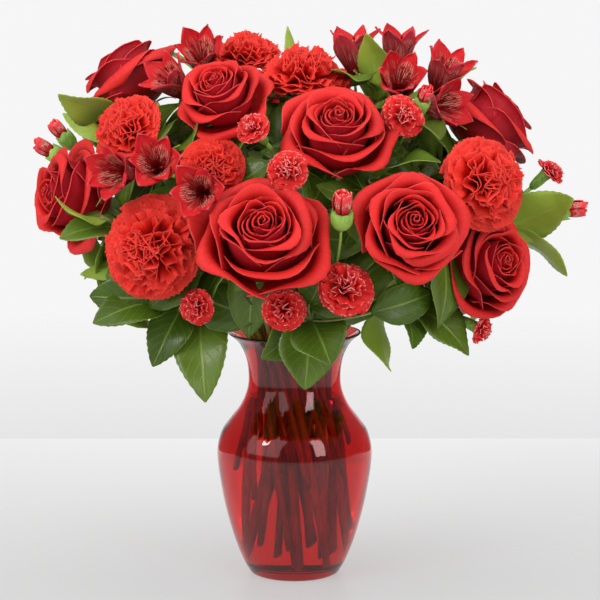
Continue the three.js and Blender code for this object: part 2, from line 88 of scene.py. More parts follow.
def add_node(tree, kind, inputs, **settings):
    """A new node, fed by values, hex colours, sockets or the first output of other nodes."""
    made = tree.nodes.new("ShaderNode" + kind)
    for name, value in settings.items():
        setattr(made, name, value)
    for name, value in inputs.items():
        if isinstance(value, str):
            value = srgb(value)
        if isinstance(value, bpy.types.Node):
            value = next(socket for socket in value.outputs if socket.enabled)
        if isinstance(value, bpy.types.NodeSocket):
            tree.links.new(value, made.inputs[name])
        else:
            made.inputs[name].default_value = value
    return made


def empty_tree(owner):
    """The owner's node tree, with nothing in it."""
    owner.use_nodes = True
    owner.node_tree.nodes.clear()
    return owner.node_tree


# The two colour inputs of a mix, which share their names with others
MIX_A, MIX_B = 6, 7

studio = bpy.data.worlds.new("studio")
bpy.context.scene.world = studio
tree = empty_tree(studio)
looking = add_node(tree, "TexCoord", {}).outputs["Generated"]
sides = add_node(tree, "SeparateXYZ", {0: looking}).outputs
low, high = BACKDROP_RISE
rise = add_node(tree, "MapRange", {"Value": sides["Z"], "From Min": low, "From Max": high})
backdrop = add_node(
    tree, "Mix", {0: rise, MIX_A: BACKDROP_LOW, MIX_B: BACKDROP_HIGH}, data_type="RGBA"
)
ray = add_node(tree, "LightPath", {}).outputs
seen = add_node(
    tree, "Math", {0: ray["Is Camera Ray"], 1: ray["Is Transmission Ray"]}, operation="MAXIMUM"
)
# Painted reflection: glossy rays see a dark surround at the front and sides, which no other ray
# sees
near, far = REFLECTED_DARK_END
painted_reflection = add_node(
    tree,
    "MapRange",
    {"Value": sides["Y"], "From Min": near, "From Max": far, "To Min": REFLECTED_DARK, "To Max": ROOM},
)
room = add_node(
    tree,
    "Mix",
    {0: ray["Is Glossy Ray"], MIX_A: (ROOM, ROOM, ROOM, 1), MIX_B: painted_reflection},
    data_type="RGBA",
)
light = add_node(tree, "Mix", {0: seen, MIX_A: room, MIX_B: backdrop}, data_type="RGBA")
surround = add_node(tree, "Background", {"Color": light})
add_node(tree, "OutputWorld", {"Surface": surround})

for name, place, (wide, tall), watts in SOFT_BOXES:
    soft_box = bpy.data.lights.new(name, "AREA")
    soft_box.shape = "RECTANGLE"
    soft_box.size, soft_box.size_y = wide, tall
    soft_box.energy = watts
    stand = bpy.data.objects.new(name, soft_box)
    stand.location = place
    stand.rotation_euler = (LIGHTS_AIM - Vector(place)).to_track_quat("-Z", "Y").to_euler()
    stand.visible_camera = False
    bpy.context.scene.collection.objects.link(stand)

# Opal acrylic: a matt white sheet with a painted glow of its own in place of lamps below it, as
# for catalogue pictures, so that shadows on it stay pale. Painted shade makes it slightly darker
# towards the viewer.
# Painted shade: the white and the painted glow are both darker at the front than at the back
TABLE_PAINTED_FALLOFF = (-0.02, 0.55)
TABLE_WHITE = ("#828282", "#8e8e8e")
TABLE_PAINTED_GLOW = ("#a7a7a7", "#bbbbbb")

opal_acrylic = bpy.data.materials.new("opal_acrylic")
tree = empty_tree(opal_acrylic)
place = add_node(tree, "TexCoord", {}).outputs["Object"]
depth = add_node(tree, "SeparateXYZ", {0: place}).outputs["Y"]
near, far = TABLE_PAINTED_FALLOFF
# Painted falloff of the light, from the front of the table to its back
painted_falloff = add_node(tree, "MapRange", {"Value": depth, "From Min": near, "From Max": far})
white, painted_glow = (
    add_node(tree, "Mix", {0: painted_falloff, MIX_A: front, MIX_B: back}, data_type="RGBA")
    for front, back in (TABLE_WHITE, TABLE_PAINTED_GLOW)
)
# The emission is painted light: no lamp shines on the table from below
board = add_node(
    tree,
    "BsdfPrincipled",
    {"Base Color": white, "Roughness": 0.5, "Emission Color": painted_glow, "Emission Strength": 1.0},
)
add_node(tree, "OutputMaterial", {"Surface": board})

table = bpy.data.meshes.new("table")
bm = bmesh.new()
bmesh.ops.create_grid(bm, x_segments=1, y_segments=1, size=1)
bmesh.ops.scale(bm, vec=(TABLE_HALF, (TABLE_BACK - TABLE_FRONT) / 2, 1), verts=bm.verts)
bmesh.ops.translate(bm, vec=(0, (TABLE_BACK + TABLE_FRONT) / 2, 0), verts=bm.verts)
bm.to_mesh(table)
bm.free()
table.materials.append(opal_acrylic)
table_object = bpy.data.objects.new("table", table)
bpy.context.scene.collection.objects.link(table_object)

# Vase: pressed ruby soda-lime glass in one piece, with a heavy base, a belly, a waisted neck
# and a flared, fire-polished lip. It stands on the ring round its slightly hollow underside.
MM = 0.001
GLASS_WALL = 3
VASE_OUTLINE = [
    (45, 16),
    (53, 39),
    (60, 68),
    (64.3, 100),
    (61.2, 118.6),
    (54.1, 129.6),
    (45.1, 141.5),
    (39.6, 154),
    (38.1, 166),
    (40, 181),
    (46, 194),
    (55, 202.4),
]
VASE_FOOT = [(0, 1.6), (24, 1.6), (30, 0.5), (33, 0), (36, 0.7), (38.6, 3.6)]
VASE_LIP = [(54.6, 203), (53.2, 203)]
VASE_WELL = [(38.5, 10), (33, 8.3), (24, 8), (0, 8)]
TURN_STEPS = 96
CURVE_STEPS = 5


def curve_through(points):
    """Points on a smooth curve through the given ones, a few to each stretch."""
    knots = [Vector((r, 0, z)) for r, z in points]
    knots = [knots[0] * 2 - knots[1], *knots, knots[-1] * 2 - knots[-2]]
    smooth = []
    for before, start, end, after in zip(knots, knots[1:], knots[2:], knots[3:]):
        out, back = start + (end - before) / 6, end - (after - start) / 6
        smooth += interpolate_bezier(start, out, back, end, CURVE_STEPS + 1)[:-1]
    return [*smooth, knots[-2]]


def turned(outline):
    """A bmesh spun from an outline of points, closed on the axis at both ends."""
    bm = bmesh.new()
    profile = [bm.verts.new(point) for point in outline]
    edges = [bm.edges.new(pair) for pair in zip(profile, profile[1:])]
    bmesh.ops.spin(
        bm,
        geom=[*profile, *edges],
        cent=(0, 0, 0),
        axis=(0, 0, 1),
        angle=math.tau,
        steps=TURN_STEPS,
        use_merge=True,
    )
    bmesh.ops.remove_doubles(bm, verts=bm.verts, dist=0.001)
    return bm


def piece(name, bm, finish, slot, *nodes):
    """Finishes a bmesh in millimetres as an object, which stands for the given CAD nodes."""
    bmesh.ops.recalc_face_normals(bm, faces=bm.faces)
    bmesh.ops.scale(bm, vec=(MM, MM, MM), verts=bm.verts)
    mesh = bpy.data.meshes.new(name)
    bm.to_mesh(mesh)
    bm.free()
    mesh.shade_smooth()
    mesh.materials.append(finish)
    made = bpy.data.objects.new(name, mesh)
    bpy.context.scene.collection.objects.link(made)
    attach(made, "root")
    if nodes:
        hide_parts(*nodes)


def clear_material(tree, shader_inputs):
    """Ends a see-through material: lamps shine through it, so that it lights what it holds."""
    glass = add_node(tree, "BsdfPrincipled", {**shader_inputs, "Transmission Weight": 1.0})
    lamp = add_node(tree, "LightPath", {}).outputs["Is Shadow Ray"]
    through = add_node(tree, "BsdfTransparent", {"Color": (0.97, 0.97, 0.97, 1)})
    return add_node(tree, "MixShader", {0: lamp, 1: glass, 2: through})


# Ruby glass: pressed in a mould and fire-polished. The colour is in the glass itself, so that
# it deepens where the wall is seen edge on and in the thick base. Its surface ripples very
# slightly, 38 mm from one swell to the next.
GLASS_RIPPLES = 26

ruby_glass = bpy.data.materials.new("ruby_glass")
tree = empty_tree(ruby_glass)
place = add_node(tree, "TexCoord", {}).outputs["Object"]
ripple = add_node(tree, "TexNoise", {"Vector": place, "Scale": GLASS_RIPPLES, "Detail": 1.0})
uneven = add_node(tree, "Bump", {"Height": ripple, "Strength": 0.10, "Distance": 0.004})
surface = clear_material(
    tree, {"Base Color": "#e2b0ac", "Roughness": 0.01, "IOR": 1.56, "Normal": uneven}
)
colour = add_node(tree, "VolumeAbsorption", {"Color": (0.98, 0.03, 0.07, 1), "Density": 640})
add_node(tree, "OutputMaterial", {"Surface": surface, "Volume": colour})

inside = [(r - GLASS_WALL, z) for r, z in reversed(VASE_OUTLINE)]
vase_outline = [
    *curve_through([*VASE_FOOT, *VASE_OUTLINE]),
    *curve_through([*VASE_LIP, *inside, *VASE_WELL]),
]
piece("ruby_vase", turned(vase_outline), ruby_glass, "ruby_glass", "vase")

# Water: clear tap water that fills the vase to just below its neck and wets the cut stems. Its
# edge creeps a little up the glass, and it swells faintly, 17 mm from crest to crest. A creep
# is a distance from the glass and a height above the level.
WATER_Z = 150
WATER_GAP = 0.35
WATER_FLOOR = 8 + WATER_GAP
WATER_SWELLS = 60
WATER_CREEP = [(-5, 0), (-1.2, 0.5)]

clean_water = bpy.data.materials.new("water")
tree = empty_tree(clean_water)
place = add_node(tree, "TexCoord", {}).outputs["Object"]
swell = add_node(tree, "TexNoise", {"Vector": place, "Scale": WATER_SWELLS, "Detail": 1.0})
uneven = add_node(tree, "Bump", {"Height": swell, "Strength": 0.05, "Distance": 0.001})
surface = clear_material(
    tree, {"Base Color": "#f4faf8", "Roughness": 0.0, "IOR": 1.333, "Normal": uneven}
)
add_node(tree, "OutputMaterial", {"Surface": surface})

wetted = [
    Vector((max(point.x - WATER_GAP, 0), 0, max(point.z, WATER_FLOOR)))
    for point in curve_through([*inside, *VASE_WELL])
    if point.z < WATER_Z
]
edge = wetted[0].x
top = [(0, WATER_Z), *((edge + out, WATER_Z + up) for out, up in WATER_CREEP)]
water = turned([*(Vector((r, 0, z)) for r, z in top), *wetted])
piece("vase_water", water, clean_water, "water", "water")

# Arrangement: every stem runs straight from its foot in the vase to its own place in the
# neck, each ring of stems twisted as a whole, and then bends out to its head. at is a head's
# middle in millimetres and face is (turn from the front towards +X, tilt) in degrees.
ROSES = {
    "front_left": ((-24, -148, 297), (0, 36), 98),
    "front_right": ((88, -136, 305), (8, 20), 82),
    "top_centre": ((33, -92, 372), (2, 46), 84),
    "top_left": ((-58, -62, 400), (-24, 46), 70),
    "right": ((152, -66, 268), (42, 12), 84),
    "left": ((-178, -34, 318), (-62, 14), 84),
    "back_left": ((-136, 34, 408), (-108, 50), 84),
    "back_right": ((158, 14, 374), (98, 42), 88),
    "back_centre": ((12, 138, 372), (172, 38), 88),
    "back_low": ((-92, 140, 292), (-148, 16), 86),
}
CARNATIONS = {
    "front_left": ((-112, -112, 288), (-20, 8), 80),
    "right": ((150, -98, 336), (34, 16), 74),
    "top": ((8, -14, 418), (10, 74), 76),
    "inner_left": ((-65, -95, 347), (-8, 22), 52),
    "left": ((-134, -58, 374), (-42, 30), 62),
    "top_left": ((-42, 24, 432), (-30, 70), 58),
    "back_left": ((-70, 104, 372), (-150, 44), 72),
    "back_right": ((98, 118, 316), (140, 22), 76),
}
SPRAYS = {
    "left": [
        ((-206, 26, 352), (-76, 30), 15, "bud"),
        ((-196, 40, 366), (-80, 50), 14, "bud"),
        ((-174, 30, 372), (-60, 60), 13, "bud"),
    ],
    "centre": [
        ((-33, -112, 379), (-34, 34), 27, "open"),
        ((-6, -142, 348), (-6, 18), 32, "open"),
    ],
    "low_left": [
        ((-76, -116, 240), (-22, -2), 30, "open"),
        ((-8, -124, 238), (0, -8), 35, "open"),
    ],
    "low_centre": [
        ((40, -140, 258), (14, 24), 44, "open"),
        ((36, -152, 322), (4, 62), 17, "bud"),
    ],
    "top_right": [
        ((86, -84, 388), (24, 30), 36, "open"),
        ((102, -68, 400), (34, 54), 13, "bud"),
    ],
    "right": [
        ((210, -4, 338), (76, 44), 26, "open"),
        ((230, 10, 303), (86, 6), 16, "bud"),
        ((150, -70, 214), (58, -22), 24, "open"),
    ],
}
ALSTROEMERIAS = {
    "left": [((-138, -108, 344), (-34, 4)), ((-106, -122, 352), (-2, 20))],
    "centre_left": [((-72, -142, 332), (-8, 8))],
    "top_left": [((-76, -8, 432), (-14, 44)), ((-100, -26, 412), (-48, 38))],
    "top_right": [
        ((84, -34, 412), (4, 34)),
        ((86, 14, 438), (30, 82)),
        ((48, 26, 436), (-20, 78)),
    ],
    "right": [((122, -22, 420), (38, 60)), ((120, -38, 392), (44, 8))],
    "back": [((78, 92, 384), (144, 50)), ((-8, 84, 408), (-170, 62))],
}
FOLIAGE_TIPS = {
    "left_high": (-150, 2, 390),
    "left": (-152, -78, 306),
    "low_left": (-112, -84, 242),
    "low_centre": (14, -92, 226),
    "low_right": (96, -72, 236),
    "right": (172, -8, 288),
    "centre": (66, -78, 340),
    "top": (66, 6, 396),
    "back_left": (-150, 84, 312),
    "back_right": (126, 92, 262),
}
UP = Vector((0, 0, 1))
HEART = Vector((0, 0, 230))
NECK_Z = 166
NECK_RINGS = [
    # radius, stems, twist in degrees, spread of the feet, further splay of short stems
    (0, 1, 0, 1, 0),
    (9, 6, 60, 1.2, 0.4),
    (18.4, 12, -60, 1.2, 0.4),
    (28.3, 21, 52, 1.14, 1.4),
]
FOOT_Z = 8.9
CUT_SHORT = {"rose": 0, "carnation": 0.06, "spray": 0.5, "alstroemeria": 0.38, "foliage": 0.55}
CUT_STEP = 0.06
STALK = {"rose": 3, "carnation": 2.4, "spray": 1.8, "alstroemeria": 2.3, "foliage": 2}
MIDDLE = {"rose": 0.3, "carnation": 0.28, "open": 0.3, "bud": 0.4, "floret": 0.6}
HEAD_GAP = 0.35
INTO_HEAD = 2
CALYX = 16
FLORET = 42
FLORET_NECK = 6
FLORET_AHEAD = FLORET * MIDDLE["floret"] + FLORET_NECK - INTO_HEAD
BRANCHING = 0.6


def aim_of(face):
    """The direction in which a head looks."""
    turn, tilt = (math.radians(angle) for angle in face)
    return Vector(
        (math.sin(turn) * math.cos(tilt), -math.cos(turn) * math.cos(tilt), math.sin(tilt))
    )


def foot_of(at, face, ahead):
    """The point behind a head whose middle is that far ahead."""
    return Vector(at) - aim_of(face) * ahead


def spray_ahead(size, kind):
    """How far a small head's middle is ahead of the end of its stalk."""
    return size * MIDDLE[kind] + CALYX - INTO_HEAD


def cubic(bend, share):
    """The point at a share of a cubic bend's way."""
    a, b, c, d = bend
    rest = 1 - share
    return a * rest**3 + b * 3 * rest**2 * share + c * 3 * rest * share**2 + d * share**3


def neck_places(tips):
    """Each stem's place in the vase's neck: the more upright stems nearer its middle."""
    lean = [(tip - HEART).angle(UP) for tip in tips]
    bearing = [math.atan2(tip.y, tip.x) for tip in tips]
    inward = sorted(range(len(tips)), key=lambda i: lean[i])
    places = {}
    for radius, room, *lie in NECK_RINGS:
        members = sorted(inward[:room], key=lambda i: bearing[i])
        inward = inward[room:]
        step = math.tau / len(members)
        offset = sum(bearing[i] - k * step for k, i in enumerate(members)) / len(members)
        for k, i in enumerate(members):
            angle = offset + k * step
            neck = Vector((radius * math.cos(angle), radius * math.sin(angle), NECK_Z))
            places[i] = (neck, *lie)
    return places


tips = {}
for kind, blooms in (("rose", ROSES), ("carnation", CARNATIONS)):
    for name, (at, face, size) in blooms.items():
        tips[kind, name] = (foot_of(at, face, size * MIDDLE[kind] + HEAD_GAP), aim_of(face))
for name, [(at, face, size, kind), *others] in SPRAYS.items():
    tips["spray", name] = (foot_of(at, face, spray_ahead(size, kind) + HEAD_GAP), aim_of(face))
for name, [(at, face), *others] in ALSTROEMERIAS.items():
    tips["alstroemeria", name] = (foot_of(at, face, FLORET_AHEAD + HEAD_GAP), aim_of(face))
for name, tip in FOLIAGE_TIPS.items():
    tips["foliage", name] = (Vector(tip), (Vector(tip) - HEART).normalized())

places = neck_places([tip for tip, aim in tips.values()])
feet, bends = {}, {}
for i, ((kind, name), (tip, aim)) in enumerate(tips.items()):
    neck, twist, spread, splay = places[i]
    cut = CUT_SHORT[kind] + CUT_STEP * (i % 3)
    foot = Matrix.Rotation(math.radians(twist), 3, "Z") @ neck * (spread + splay * cut)
    foot.z = FOOT_Z
    foot = foot.lerp(neck, cut)
    reach = (tip - neck).length
    straight = (neck - foot).normalized() * (34 + 0.22 * reach)
    feet[kind, name] = foot
    bends[kind, name] = (neck, neck + straight, tip - aim * 0.3 * reach, tip)

# Stems: fresh green stalks, cut on a slant. Each is one round tube, with its own radius at
# every point of its way. Side branches are thinner and leave it where it bends.
STALK_SIDES = 8
BEND_STEPS = 20
BRANCH_SIDES = 6
BRANCH_STEPS = 12


def tube(bm, points, radii, sides, slant=0):
    """A round stalk along points. A slant lifts one side of its foot by that many radii."""
    stalk = bmesh.ops.create_cone(
        bm, segments=sides, radius1=1, radius2=1, depth=1, cap_ends=True
    )
    lengthwise = {
        edge
        for v in stalk["verts"]
        for edge in v.link_edges
        if abs(edge.verts[0].co.z - edge.verts[1].co.z) > 0.5
    }
    cut = bmesh.ops.subdivide_edges(
        bm, edges=list(lengthwise), cuts=len(points) - 2, use_grid_fill=True
    )
    rings = {v for g in cut["geom"] if isinstance(g, bmesh.types.BMEdge) for v in g.verts}
    last = len(points) - 1
    across = None
    frames = []
    for i, point in enumerate(points):
        ahead = (points[min(i + 1, last)] - points[max(i - 1, 0)]).normalized()
        across = across or ahead.orthogonal()
        across = (across - ahead * across.dot(ahead)).normalized()
        frames.append((point, across, ahead.cross(across), ahead))
    for v in rings:
        i = round((v.co.z + 0.5) * last)
        point, right, other, ahead = frames[i]
        lift = slant * (1 + v.co.x) if i == 0 else 0
        v.co = point + (right * v.co.x + other * v.co.y + ahead * lift) * radii[i]
    return rings


def add_stem(bm, kind, name, end=1.0, *beyond):
    """A stem: its straight run in the vase, its bend up to a share of it and points beyond."""
    bend = bends[kind, name]
    run = [feet[kind, name].lerp(bend[0], share) for share in (0, 0.25, 0.5, 0.75)]
    way = [cubic(bend, k / BEND_STEPS * end) for k in range(BEND_STEPS + 1)]
    points = [*run, *way, *beyond]
    tube(bm, points, [STALK[kind]] * len(points), STALK_SIDES, slant=1)


def add_branch(bm, kind, name, at, face, ahead, radius):
    """A side branch leaves its stem and comes up behind its own head."""
    start, end = cubic(bends[kind, name], BRANCHING), foot_of(at, face, ahead)
    middle = end - aim_of(face) * 0.4 * (end - start).length
    out, back = start.lerp(middle, 2 / 3), end.lerp(middle, 2 / 3)
    points = interpolate_bezier(start, out, back, end, BRANCH_STEPS)
    tube(bm, points, [radius] * len(points), BRANCH_SIDES)


# What a petal or leaf notes of each of its points: how far up and across it lies, the whole
# petal's own shade, and whether it is on the side that faces out of the flower.
NOTES = ("along", "across", "shade", "outside")


def new_bmesh():
    """An empty bmesh with room for the notes."""
    bm = bmesh.new()
    for name in NOTES:
        bm.verts.layers.float.new(name)
    return bm


# Living stalk: smooth waxy skin, streaked along its length every 1.1 mm, each streak about
# 17 mm long, and paler in patches 22 mm across.
STREAKS = (900, 900, 60)
PATCHES = 45


def fresh_green(name, dark, pale, roughness):
    """The skin of a green or woody stalk between a dark and a pale colour."""
    finish = bpy.data.materials.new(name)
    tree = empty_tree(finish)
    place = add_node(tree, "TexCoord", {}).outputs["Object"]
    stretched = add_node(tree, "Mapping", {"Vector": place, "Scale": STREAKS})
    streaks = add_node(tree, "TexNoise", {"Vector": stretched, "Scale": 1, "Detail": 2.0})
    patches = add_node(tree, "TexNoise", {"Vector": place, "Scale": PATCHES, "Detail": 2.0})
    both = add_node(tree, "Math", {0: streaks, 1: patches}, operation="ADD")
    share = add_node(tree, "MapRange", {"Value": both, "From Min": 0.7, "From Max": 1.3})
    green = add_node(tree, "Mix", {0: share, MIX_A: dark, MIX_B: pale}, data_type="RGBA")
    relief = add_node(tree, "Bump", {"Height": streaks, "Strength": 0.3, "Distance": 0.0003})
    skin = add_node(
        tree, "BsdfPrincipled", {"Base Color": green, "Roughness": roughness, "Normal": relief}
    )
    add_node(tree, "OutputMaterial", {"Surface": skin})
    return finish


rose_stem_skin = fresh_green("rose_stem_skin", "#78944a", "#a6be70", 0.45)
carnation_stem_skin = fresh_green("carnation_stem_skin", "#628c30", "#98bc50", 0.5)

# Roses: long-stemmed red roses, half to fully open. Petals of thick velvety tissue wind round
# a closed heart, each outside the one before, and roll back at the lip as they open.
ROSE_PETALS = 25
ROSE_GRID = (16, 11)
GOLDEN_ANGLE = math.radians(137.5)
PETAL_THICKNESS = 0.6


def sheet(bm, grid_size, point, thickness, shade=0.0):
    """A thin petal or leaf on point(u, v), with u from -1 to 1 across and v from 0 to 1 up."""
    layers = [bm.verts.layers.float[name] for name in NOTES]
    across, along = grid_size
    grid = bmesh.ops.create_grid(bm, x_segments=across, y_segments=along, size=1)["verts"]
    for v in grid:
        u, t = v.co.x, (v.co.y + 1) / 2
        v.co = point(u, t)
        for layer, value in zip(layers, (t, u, shade, 1)):
            v[layer] = value
    faces = list({face for v in grid for face in v.link_faces})
    edges = list({edge for v in grid for edge in v.link_edges})
    border = [edge for edge in edges if edge.is_boundary]
    for part in (*faces, *grid):
        part.normal_update()
    twin = bmesh.ops.duplicate(bm, geom=[*grid, *edges, *faces])["vert_map"]
    for v in grid:
        twin[v].co -= v.normal * thickness
        twin[v][layers[3]] = 0
    for edge in border:
        start, end = edge.verts
        bm.faces.new((start, end, twin[end], twin[start]))


def smoothstep(low, high, value):
    """A soft step from 0 at low to 1 at high."""
    share = min(max((value - low) / (high - low), 0), 1)
    return share * share * (3 - 2 * share)


def rose_petal(size, s, turn, dice):
    """The surface of one petal. s is 0 for the innermost petal and 1 for the outermost."""
    radius, height = size / 2, size * 0.62
    opened = smoothstep(0.2, 0.85, s)
    lip_r = (0.05 + 0.57 * s + 0.26 * s**2.4) * dice.uniform(0.93, 1.06)
    lip_z = 0.95 - 0.12 * opened - 0.34 * smoothstep(0.6, 1, s) + dice.uniform(-0.03, 0.03)
    fallen = smoothstep(0.82, 1, s) * dice.uniform(0, 1) ** 2
    lip_r += 0.09 * fallen
    lip_z -= 0.3 * fallen
    half_angle = math.radians(138 - 64 * s**0.6) * dice.uniform(0.9, 1.12)
    roll = 0.03 + 0.09 * opened * dice.uniform(0.8, 1.2)
    turnover = 0.4 + 1.5 * opened * dice.uniform(0.5, 1.15)
    swirl = 0.30 * (1 - s) ** 1.5 + 0.09 * dice.uniform(0.4, 1.4)
    lobes, dent = 0.13 * (1 - s) * smoothstep(0.04, 0.2, s), dice.uniform(0, math.tau)
    side_roll = 0.13 * opened * dice.uniform(0.5, 1.2)
    wave, phase = (0.012 + 0.06 * s) * dice.uniform(0.3, 1.1), dice.uniform(0, math.tau)
    peak = 0.15 * opened * dice.uniform(0.1, 1.2)
    foot, belly = Vector((0.10, 0)), Vector((0.20 + 0.62 * s, 0.02))
    neck, lip = Vector((lip_r * (1.12 - 0.2 * opened), lip_z * 0.74)), Vector((lip_r, lip_z))
    rising = (lip - neck).normalized()
    outward = Vector((rising.y, -rising.x))

    def surface(u, v):
        reach = (1 - (1 - v) ** 1.6) * (1 - 0.2 * abs(u) ** 2.6) + peak * v * (1 - abs(u)) ** 2
        r, z = cubic((foot, belly, neck, lip), min(reach / 0.84, 1))
        bent = max(reach - 0.84, 0) / 0.16 * turnover
        curl = rising * math.sin(bent) + outward * (1 - math.cos(bent))
        r, z = Vector((r, z)) + curl * roll
        edge = abs(u) ** 4 * smoothstep(0.2, 0.9, v) * side_roll
        r += edge + u * swirl * r * v + wave * v**2 * math.sin(2.4 * u * math.pi + phase)
        z -= edge * 0.4
        wrap = 0.5 + 0.5 * math.sin(math.pi * min(v * 0.6 + 0.08, 0.5))
        angle = turn + u * half_angle * wrap
        r *= 1 + lobes * v * math.sin(3 * angle + dent)
        z -= lobes * v * abs(u) * 1.5
        return Vector((r * radius * math.cos(angle), r * radius * math.sin(angle), z * height))

    return surface


# Petal tissue: a velvety sheet of cells without gloss. Painted shade darkens it towards its
# root, deep in the flower, and a painted highlight pales its thin rim, which may be broken into
# specks 2.4 mm apart;
# on spray carnations that speckled rim is also their real pale edge. Veins run up it, 0.5 mm
# apart on small petals and 1.5 mm on large ones. A marked one has pale flames 15 mm and dark
# dashes 3 mm long.
VEINS_ACROSS = 16.0
PETAL_VEINS = 2.2
RIM_SPECKS = 420
MARKS = [
    # scale across, along and from petal to petal, detail, threshold, end, strength, colour
    ((1.1, 3.0, 1), 1.0, 0.5, 0.6, 0.85, "#f6cdb4"),
    ((0.9, 14, 1), 0.0, 0.6, 0.64, 0.9, "#2e0508"),
]


def velvet_petal(name, deep, body, back, rim, speckled=0.0, marked=0.0):
    """A petal's tissue: deep is painted shade at the root, body and back its colours inside and
    outside, rim a painted highlight at the edge that is also the real pale edge of sprays.
    """
    finish = bpy.data.materials.new(name)
    tree = empty_tree(finish)
    along, across, shade, outside = (
        add_node(tree, "Attribute", {}, attribute_name=note).outputs["Fac"] for note in NOTES
    )
    wide = add_node(tree, "Math", {0: across, 1: VEINS_ACROSS}, operation="MULTIPLY")
    where = add_node(tree, "CombineXYZ", {0: wide, 1: along, 2: shade})
    veins = add_node(tree, "TexNoise", {"Vector": where, "Scale": PETAL_VEINS, "Detail": 3.0})
    # Painted shade: the deep colour darkens the petal towards its root, in the depth of the
    # flower
    out_of_root_shade = add_node(tree, "MapRange", {"Value": along, "From Min": 0.15, "From Max": 0.75})
    sides = add_node(tree, "Mix", {0: outside, MIX_A: body, MIX_B: back}, data_type="RGBA")
    red = add_node(tree, "Mix", {0: out_of_root_shade, MIX_A: deep, MIX_B: sides}, data_type="RGBA")
    # Painted highlight along the thin rim; on speckled sprays it is also their real pale edge
    edge_and_highlight_band = add_node(
        tree, "MapRange", {"Value": along, "From Min": 0.95, "From Max": 1.0, "To Max": 0.6}
    )
    place = add_node(tree, "TexCoord", {}).outputs["Object"]
    specks = add_node(tree, "TexNoise", {"Vector": place, "Scale": RIM_SPECKS, "Detail": 2.0})
    speck = add_node(
        tree,
        "MapRange",
        {"Value": specks, "From Min": 0.48, "From Max": 0.56, "To Min": 1 - speckled},
    )
    edge_and_highlight_mask = add_node(tree, "Math", {0: edge_and_highlight_band, 1: speck}, operation="MULTIPLY")
    tint = add_node(tree, "Mix", {0: edge_and_highlight_mask, MIX_A: red, MIX_B: rim}, data_type="RGBA")
    band = add_node(
        tree,
        "MapRange",
        {"Value": along, "From Min": 0.3, "From Max": 0.85, "To Min": -1.3, "To Max": 1.3},
    )
    oval = -1.0
    for way in (band, across):
        oval = add_node(tree, "Math", {0: way, 1: way, 2: oval}, operation="MULTIPLY_ADD")
    patch = add_node(
        tree, "MapRange", {"Value": oval, "From Min": 0.3, "From Max": -0.4, "To Max": marked}
    )
    patch = add_node(tree, "Math", {0: patch, 1: shade}, operation="MULTIPLY")
    for scale, detail, low, high, most, colour in MARKS:
        lying = add_node(tree, "Mapping", {"Vector": where, "Scale": scale})
        noise = add_node(tree, "TexNoise", {"Vector": lying, "Scale": 1.0, "Detail": detail})
        mark = add_node(
            tree, "MapRange", {"Value": noise, "From Min": low, "From Max": high, "To Max": most}
        )
        mark = add_node(tree, "Math", {0: mark, 1: patch}, operation="MULTIPLY")
        tint = add_node(tree, "Mix", {0: mark, MIX_A: tint, MIX_B: colour}, data_type="RGBA")
    strength = add_node(tree, "MapRange", {"Value": veins, "To Min": 0.7, "To Max": 1.08})
    strength = add_node(tree, "Math", {0: shade, 1: 0.16, 2: strength}, operation="MULTIPLY_ADD")
    tinted = add_node(tree, "HueSaturation", {"Color": tint, "Value": strength})
    relief = add_node(tree, "Bump", {"Height": veins, "Strength": 0.5, "Distance": 0.0008})
    tissue = add_node(
        tree,
        "BsdfPrincipled",
        {"Base Color": tinted, "Roughness": 0.56, "Specular IOR Level": 0.24, "Normal": relief},
    )
    add_node(tree, "OutputMaterial", {"Surface": tissue})
    return finish


def stand_on(bm, foot, aim):
    """Turns what was made along +Z from the origin to look along aim from its foot."""
    turn = UP.rotation_difference(aim).to_matrix().to_4x4()
    bmesh.ops.transform(bm, matrix=Matrix.Translation(foot) @ turn, verts=bm.verts)


# The first colour is painted shade at the petals' roots and the last a painted highlight on
# their rims
rose_petals = velvet_petal("rose_petal_velvet", "#a00c0e", "#d42220", "#b81c2c", "#e0524e")

for index, (name, (at, face, size)) in enumerate(ROSES.items()):
    dice = random.Random(100 + index)
    bm = new_bmesh()
    start = dice.uniform(0, math.tau)
    for k in range(ROSE_PETALS):
        s = k / (ROSE_PETALS - 1)
        turn = start + k * GOLDEN_ANGLE + dice.uniform(-0.12, 0.12)
        surface = rose_petal(size, s, turn, dice)
        sheet(bm, ROSE_GRID, surface, PETAL_THICKNESS, shade=dice.random())
    stand_on(bm, foot_of(at, face, size * MIDDLE["rose"]), aim_of(face))
    piece(f"rose_{name}_petals", bm, rose_petals, "rose_petals", f"rose_{name}")

# Rose stems: smooth and straight, with the thorns stripped off by the florist. Each ends in a
# green hip that carries the petals, with five pointed sepals folded back.
HIP_PROFILE = [(-17, 3), (-13, 4.2), (-9, 6.6), (-5, 7.4), (-2, 6.6), (0, 5)]
HIP_SIDES = 12
INTO_HIP = 14
SEPALS = 5
SEPAL_GRID = (4, 8)
SEPAL_THICKNESS = 0.5


def sepal(turn, droop):
    """A narrow pointed sepal that leaves the top of the hip and hangs back from the petals."""

    def surface(u, v):
        half = 3.4 * (1 - v) ** 0.7 * (0.75 + 0.5 * math.sin(math.pi * v)) + 0.12
        r = 6 + 15 * math.sin(v * 1.35)
        z = -3 - droop * v**1.6 + abs(u) * half * 0.25
        return Matrix.Rotation(turn, 3, "Z") @ Vector((r, u * half, z))

    return surface


